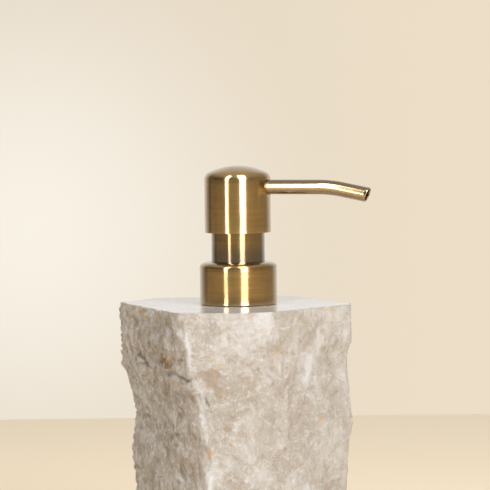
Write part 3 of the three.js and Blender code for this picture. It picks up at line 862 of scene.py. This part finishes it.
# %% Saw the ends and bore the reservoir
plug_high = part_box("base_plug")[1] / mm
neck_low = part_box("neck_insert")[0] / mm
fit_gap = 0.3
plug_seat = plug_high.x + fit_gap
plug_top = plug_high.z + fit_gap
reservoir_radius = 28
neck_seat = 15.0
roof = neck_low.z - fit_gap
deselect_all()
bpy.context.view_layer.objects.active = stone
bpy.ops.object.mode_set(mode="EDIT")
for level, direction in ((stone_high.z, 1), (stone_low.z, -1)):
    bpy.ops.mesh.select_all(action="SELECT")
    bpy.ops.mesh.bisect(
        plane_co=(0, 0, level * mm), plane_no=(0, 0, direction), use_fill=True, clear_outer=True,
        threshold=1e-8,
    )
bpy.ops.object.mode_set(mode="OBJECT")
bore = turned(
    "bore",
    [
        (0, stone_low.z - 1),
        (plug_seat, stone_low.z - 1),
        (plug_seat, plug_top),
        (reservoir_radius, plug_top),
        (reservoir_radius, roof),
        (neck_seat, roof),
        (neck_seat, stone_high.z + 1),
        (0, stone_high.z + 1),
    ],
    96,
)
cut_with(stone, bore)
finish_mesh(stone, 50)
for face in stone.data.polygons:
    sawn = abs(face.normal.z) > 0.999 and min(
        abs(face.center.z - level * mm) for level in (stone_high.z, stone_low.z)
    ) < 0.01 * mm
    face.use_smooth = not sawn

# %% [markdown]
# ## Marking the stone
# The veins, stains and pockets of the real block have places of their own, so they are painted as
# values on the points: how white, how brown, how ochre, and how much painted shade darkens a crevice.
# The finish reads these values and breaks their edges up with finer noise.

# %% Paint the marks
points = np.array([v.co for v in stone.data.vertices]) / mm
uvz = block_axes(points)
front = uvz[:, 1] < 0
wander = np.column_stack([lumps(uvz, 9, 21), np.zeros(len(uvz)), lumps(uvz, 9, 22)]) * 2.2


eye_across, eye_level = 2.9, 204


def nearness(across):
    """How much nearer to the eye than the pump's axis a face is, as a share of the distance."""
    if across < -38:
        return -0.005
    if across >= 38:
        return 0.012
    return 0.038 if abs(across) < 25 else 0.025


def blot(across, level, half_width, half_height, lean=0.0, strength=1.0):
    """A soft patch on the front, leaning by some degrees.

    Its place across and up is judged level with the pump's axis, then brought to the nearer face.
    """
    share = nearness(across)
    across += (eye_across - across) * share
    level += (eye_level - level) * share
    place = uvz + wander
    du, dz = place[:, 0] - across, place[:, 2] - level
    c, s = math.cos(math.radians(lean)), math.sin(math.radians(lean))
    along, off = (c * du + s * dz) / half_width, (c * dz - s * du) / half_height
    return strength * front * np.exp(-(along**2 + off**2))


def paint(name, values):
    """Stores one value for each point of the stone."""
    layer = stone.data.attributes.new(name, "FLOAT", "POINT")
    layer.data.foreach_set("value", np.clip(values, 0, 1).astype(np.float32))


ridge = ridge_at(uvz[:, 2]) - 0.3
beside_ridge = front * np.exp(-(((uvz[:, 0] + wander[:, 0] * 0.6 - ridge - 0.8) / 1.3) ** 2))
white = (
    blot(5, 103, 15, 7, 0, 0.42)
    + blot(28.5, 86, 2.0, 9.5, -6)
    + blot(34, 96.5, 1.6, 7, -12, 0.9)
    + blot(44.5, 98, 1.6, 5, -5, 0.8)
    + blot(11, 107, 3.5, 8, 8, 0.7)
    + blot(-10, 40, 5, 4, 30, 0.7)
    + blot(19, 72, 1.2, 4, -20, 0.5)
    + beside_ridge * (0.35 + 0.65 * eased(lumps(uvz, 10, 23), -0.2, 0.35))
)
brown = (
    blot(-14.5, 81.5, 4.5, 2.6, 0, 1.0)
    + blot(-9.5, 77, 2.6, 5.0, 25, 0.9)
    + blot(-6.5, 59, 2.6, 1.4, 0, 1.0)
    + blot(8, 79, 1.2, 1.2, 0, 0.6)
)
ochre = (
    blot(-14, 89.6, 3.0, 0.6, 4, 1.0)
    + blot(-9, 85.5, 3.0, 2.0, 0, 0.5)
    + blot(-3, 54, 1.0, 0.8, 0, 1.0)
    + blot(-13, 49, 1.4, 3.0, 0, 0.8)
    + blot(34.5, 61, 1.0, 1.2, 0, 0.9)
    + blot(15, 90, 6, 2.0, 20, 0.45)
    + blot(23, 99, 3, 0.9, 35, 0.6)
    + blot(39, 109, 2.6, 1.2, 20, 0.6)
    + blot(-41, 109.5, 6, 1.2, -15, 0.6)
    + blot(-45, 91, 3.0, 3.0, -40, 0.8)
    + blot(-31, 88, 3.5, 2.0, 0, 0.7)
)
# Painted shade: dark patches in the crevices under the ledge, where shadow falls.
crevice_shade = (
    blot(-40.5, 90.5, 5.0, 1.0, -38, 1.0)
    + blot(-31.5, 87.5, 3.4, 1.3, -10, 1.0)
    + blot(-24, 88.0, 2.0, 1.0, 10, 0.7)
    + blot(-20, 101, 2.0, 0.8, -55, 0.6)
    + blot(-14.2, 71, 0.7, 4.0, 8, 0.7)
)
top_face = (np.abs(uvz[:, 2] - stone_high.z) < 0.02).astype(float)
for name, values in (("white", white), ("brown", brown), ("ochre", ochre), ("crevice_shade", crevice_shade)):
    paint(name, values)
# The left face past the ridge is marked for its darker mottle, partly the stone's own brown and partly
# painted shade.
past_ridge = eased(ridge - uvz[:, 0] + wander[:, 0] * 0.3, -0.5, 2.5)
paint("weathered", past_ridge)
paint("polished", top_face)

# %% [markdown]
# ## The stone's finish
# Beige marble is a cloudy ground of warm grey and pale tan, with milky patches, thin white veins,
# brown mottling and ochre stains where iron has seeped in. The body colour is a node group, because
# the plug in the foot is cut from the same stone. On the split faces the grain is matt and rough. The
# polished top is smooth and mirrors the collar.

# %% Make the stone body group
stone_body_colour, group_in, group_out = new_group(
    "stone_body_colour",
    [("Place", "NodeSocketVector", (0, 0, 0)), ("Mottling", "NodeSocketFloat", 1.0)],
    [("Colour", "NodeSocketColor"), ("Grain", "NodeSocketFloat")],
)
tree = stone_body_colour
place = group_in["Place"]
swirl = node(tree, "ShaderNodeTexNoise", {"Vector": place, "Scale": 60.0, "Detail": 3.0}).outputs[1]
swirl = stretched(tree, swirl, 0.012, 0.012, 0.012)
swirled = node(tree, "ShaderNodeVectorMath", {0: place, 1: swirl}, operation="ADD").outputs[0]
cloud = clouded(tree, swirled, 45.0, 6.0, 0.6)
mottle = clouded(tree, swirled, 210.0, 7.0, 0.75, 0.4)
fleck = clouded(tree, swirled, 480.0, 4.0, 0.7, 0.5)
speck = clouded(tree, place, 1100.0, 4.0, 0.7)
colour = mixed(tree, ramped(tree, cloud, 0.36, 0.64), (0.54, 0.487, 0.438), (0.715, 0.69, 0.68))
brown_mask = maths(tree, "MULTIPLY", ramped(tree, mottle, 0.50, 0.66), group_in["Mottling"])
colour = mixed(tree, maths(tree, "MULTIPLY", brown_mask, 0.75), colour, (0.46, 0.37, 0.29))
milky = maths(tree, "MULTIPLY", ramped(tree, mottle, 0.47, 0.33), 0.8)
colour = mixed(tree, milky, colour, (0.82, 0.81, 0.81))
tan_fleck = maths(tree, "MULTIPLY", ramped(tree, fleck, 0.55, 0.68), 0.6)
colour = mixed(tree, tan_fleck, colour, (0.62, 0.47, 0.33))
white_fleck = maths(tree, "MULTIPLY", ramped(tree, fleck, 0.44, 0.32), 0.7)
colour = mixed(tree, white_fleck, colour, (0.86, 0.86, 0.87))
vein = maths(tree, "ABSOLUTE", maths(tree, "SUBTRACT", clouded(tree, swirled, 70.0, 4.0, 0.6, 0.6), 0.5))
vein_mask = maths(tree, "MULTIPLY", ramped(tree, vein, 0.0, 0.022, 1.0, 0.0), 0.35)
colour = mixed(tree, vein_mask, colour, (0.84, 0.84, 0.86))
dark_speck = maths(tree, "MULTIPLY", ramped(tree, speck, 0.58, 0.74), 0.5)
colour = mixed(tree, dark_speck, colour, (0.40, 0.31, 0.23))
pale_speck = maths(tree, "MULTIPLY", ramped(tree, speck, 0.43, 0.30), 0.6)
colour = mixed(tree, pale_speck, colour, (0.86, 0.85, 0.85))
tree.links.new(colour, group_out["Colour"])
tree.links.new(speck, group_out["Grain"])

# %% Make the split stone
stone_finish, tree, shader = new_material("split_stone")
place = object_place(tree)
body = use_group(tree, stone_body_colour, {"Place": place})
edge_noise = clouded(tree, place, 420.0, 5.0, 0.7)


def painted(name, softness, spread):
    """A painted mark, with its edge broken up by noise."""
    value = node(tree, "ShaderNodeAttribute", attribute_name=name).outputs["Fac"]
    broken = maths(tree, "MULTIPLY", maths(tree, "SUBTRACT", edge_noise, 0.5), spread)
    shifted = maths(tree, "ADD", value, broken)
    return ramped(tree, shifted, 0.5 - softness, 0.5 + softness)


polished = node(tree, "ShaderNodeAttribute", attribute_name="polished").outputs["Fac"]
polished = ramped(tree, polished, 0.6, 0.95)
drawn_out = clouded(tree, stretched(tree, place, 1, 1, 0.45), 300.0, 7.0, 0.78, 0.4)
# On the left face past the ridge, a darker brown mottle is partly the stone's own brown and partly
# painted shade for the shadows of its relief. The pale crystals are the stone's own.
left_face_mask = node(tree, "ShaderNodeAttribute", attribute_name="weathered").outputs["Fac"]
left_face_brown_and_shade = maths(tree, "MULTIPLY", ramped(tree, drawn_out, 0.44, 0.62), 0.75)
left_face_brown_and_shade = maths(tree, "MULTIPLY", left_face_brown_and_shade, left_face_mask)
colour = mixed(tree, left_face_brown_and_shade, body["Colour"], (0.34, 0.26, 0.18))
crystals = maths(tree, "MULTIPLY", ramped(tree, drawn_out, 0.42, 0.30), 0.7)
crystals = maths(tree, "MULTIPLY", crystals, left_face_mask)
colour = mixed(tree, crystals, colour, (0.86, 0.85, 0.84))
# The crevice mark is painted shade. White, brown and ochre are the stone's own colours.
for name, softness, spread, strength, tint in (
    ("white", 0.35, 1.1, 0.8, (0.88, 0.88, 0.91)),
    ("brown", 0.3, 1.3, 0.75, (0.44, 0.33, 0.25)),
    ("ochre", 0.35, 1.6, 0.75, (0.68, 0.42, 0.16)),
    ("crevice_shade", 0.3, 1.5, 0.75, (0.17, 0.125, 0.08)),
):
    mark = maths(tree, "MULTIPLY", painted(name, softness, spread), strength)
    colour = mixed(tree, mark, colour, tint)
pale_top = mixed(tree, 0.5, body["Colour"], (0.66, 0.655, 0.66))
colour = mixed(tree, polished, colour, pale_top)
tree.links.new(colour, shader.inputs["Base Color"])
rough = maths(tree, "ADD", maths(tree, "MULTIPLY", body["Grain"], 0.25), 0.55)
touched = use_group(tree, handling, {"Place": place})["Marks"]
gloss = maths(tree, "ADD", maths(tree, "MULTIPLY", touched, 0.05), 0.06)
blend = node(tree, "ShaderNodeMix", {0: polished, 2: rough, 3: gloss}, data_type="FLOAT").outputs[0]
tree.links.new(blend, shader.inputs["Roughness"])
pits = clouded(tree, place, 520.0, 8.0, 0.78)
grains = clouded(tree, place, 2600.0, 3.0, 0.6)
relief = maths(tree, "ADD", pits, maths(tree, "MULTIPLY", grains, 0.4))
relief = maths(tree, "MULTIPLY", relief, maths(tree, "SUBTRACT", 1.0, polished))
bump = node(tree, "ShaderNodeBump", {"Height": relief, "Strength": 1.0})
bump.inputs["Distance"].default_value = 1.6 * mm
tree.links.new(bump.outputs[0], shader.inputs["Normal"])
shader.inputs["IOR"].default_value = 1.52
settle(stone, "bottle", "stone_body", stone_finish)

# %% [markdown]
# ## The pieces inside
# The plastic works, the spring, the ball and the foot keep their CAD meshes. Each still gets a
# finish of its own: moulded plastic has a faint cloudiness and a fine texture from the mould, the
# dip tube and the liner are milky clear plastic, the pad is foam and the plug is sawn stone.

# %% Make the plastics, steel, foam and sawn stone
def moulded_finish(name, dark, light, roughness, transmission=0.0, grain=1800.0):
    """Moulded plastic: cloudy colour, touch marks and a fine mould texture."""
    material, tree, shader = new_material(name)
    place = object_place(tree)
    clouds = clouded(tree, place, 60.0, 4.0)
    edge = use_group(tree, worn_edges, {"Place": place})["Edge"]
    colour = mixed(tree, ramped(tree, clouds, 0.35, 0.65), dark, light)
    colour = mixed(tree, maths(tree, "MULTIPLY", edge, 0.3), colour, (0.92, 0.92, 0.92))
    tree.links.new(colour, shader.inputs["Base Color"])
    marks = use_group(tree, handling, {"Place": place})["Marks"]
    uneven = maths(tree, "ADD", maths(tree, "MULTIPLY", marks, 0.12), roughness)
    tree.links.new(uneven, shader.inputs["Roughness"])
    texture = clouded(tree, place, grain, 3.0)
    bump = node(tree, "ShaderNodeBump", {"Height": texture, "Strength": 0.15})
    bump.inputs["Distance"].default_value = 0.05 * mm
    tree.links.new(bump.outputs[0], shader.inputs["Normal"])
    shader.inputs["Transmission Weight"].default_value = transmission
    return material


def steel_finish():
    """Bright drawn steel with fine draw lines."""
    material, tree, shader = new_material("drawn_steel")
    place = object_place(tree)
    brush = use_group(tree, brushing, {"Place": place, "Lines per metre": 5200.0})
    colour = mixed(tree, brush["Coarse"], (0.46, 0.47, 0.48), (0.68, 0.68, 0.69))
    tree.links.new(colour, shader.inputs["Base Color"])
    uneven = maths(tree, "ADD", maths(tree, "MULTIPLY", brush["Fine"], 0.15), 0.18)
    tree.links.new(uneven, shader.inputs["Roughness"])
    shader.inputs["Metallic"].default_value = 1.0
    return material


def foam_finish():
    """Closed-cell foam: near black, matt, with fine open cells."""
    material, tree, shader = new_material("foam")
    cells = node(tree, "ShaderNodeTexVoronoi", {"Vector": object_place(tree), "Scale": 1400.0})
    colour = mixed(tree, cells.outputs[0], (0.018, 0.018, 0.019), (0.05, 0.05, 0.05))
    tree.links.new(colour, shader.inputs["Base Color"])
    bump = node(tree, "ShaderNodeBump", {"Height": cells.outputs[0], "Strength": 0.5})
    bump.inputs["Distance"].default_value = 0.1 * mm
    tree.links.new(bump.outputs[0], shader.inputs["Normal"])
    shader.inputs["Roughness"].default_value = 0.95
    return material


def sawn_stone_finish():
    """The same stone as the block, with the parallel marks of the saw."""
    material, tree, shader = new_material("sawn_stone")
    place = object_place(tree)
    body = use_group(tree, stone_body_colour, {"Place": place, "Mottling": 0.6})
    tree.links.new(body["Colour"], shader.inputs["Base Color"])
    saw = clouded(tree, stretched(tree, place, 1500.0, 20.0, 20.0), 1.0, 2.0)
    bump = node(tree, "ShaderNodeBump", {"Height": saw, "Strength": 0.3})
    bump.inputs["Distance"].default_value = 0.1 * mm
    tree.links.new(bump.outputs[0], shader.inputs["Normal"])
    tree.links.new(maths(tree, "ADD", maths(tree, "MULTIPLY", saw, 0.2), 0.5), shader.inputs["Roughness"])
    return material


white_plastic = moulded_finish("white_plastic", (0.74, 0.73, 0.70), (0.81, 0.80, 0.77), 0.36)
neck_plastic = moulded_finish("neck_plastic", (0.68, 0.67, 0.63), (0.76, 0.75, 0.71), 0.42)
gasket_foam = moulded_finish("gasket_foam", (0.70, 0.70, 0.67), (0.78, 0.78, 0.75), 0.8, 0.0, 3000.0)
clear_plastic = moulded_finish("clear_plastic", (0.78, 0.81, 0.81), (0.86, 0.88, 0.88), 0.22, 0.45)
finishes = {
    "neck_insert": neck_plastic,
    "screw_closure": white_plastic,
    "gasket": gasket_foam,
    "pump_housing": white_plastic,
    "chaplet": white_plastic,
    "dip_tube": clear_plastic,
    "return_spring": steel_finish(),
    "check_ball": bpy.data.materials["drawn_steel"],
    "valve_stem": white_plastic,
    "piston": clear_plastic,
    "upper_stem": white_plastic,
    "actuator_core": white_plastic,
    "spout_liner": clear_plastic,
    "base_plug": sawn_stone_finish(),
    "base_pad": foam_finish(),
}
for name, material in finishes.items():
    cad_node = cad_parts[name]
    cad_node.data.materials.clear()
    cad_node.data.materials.append(material)
print("finished", len(finishes), "CAD nodes")
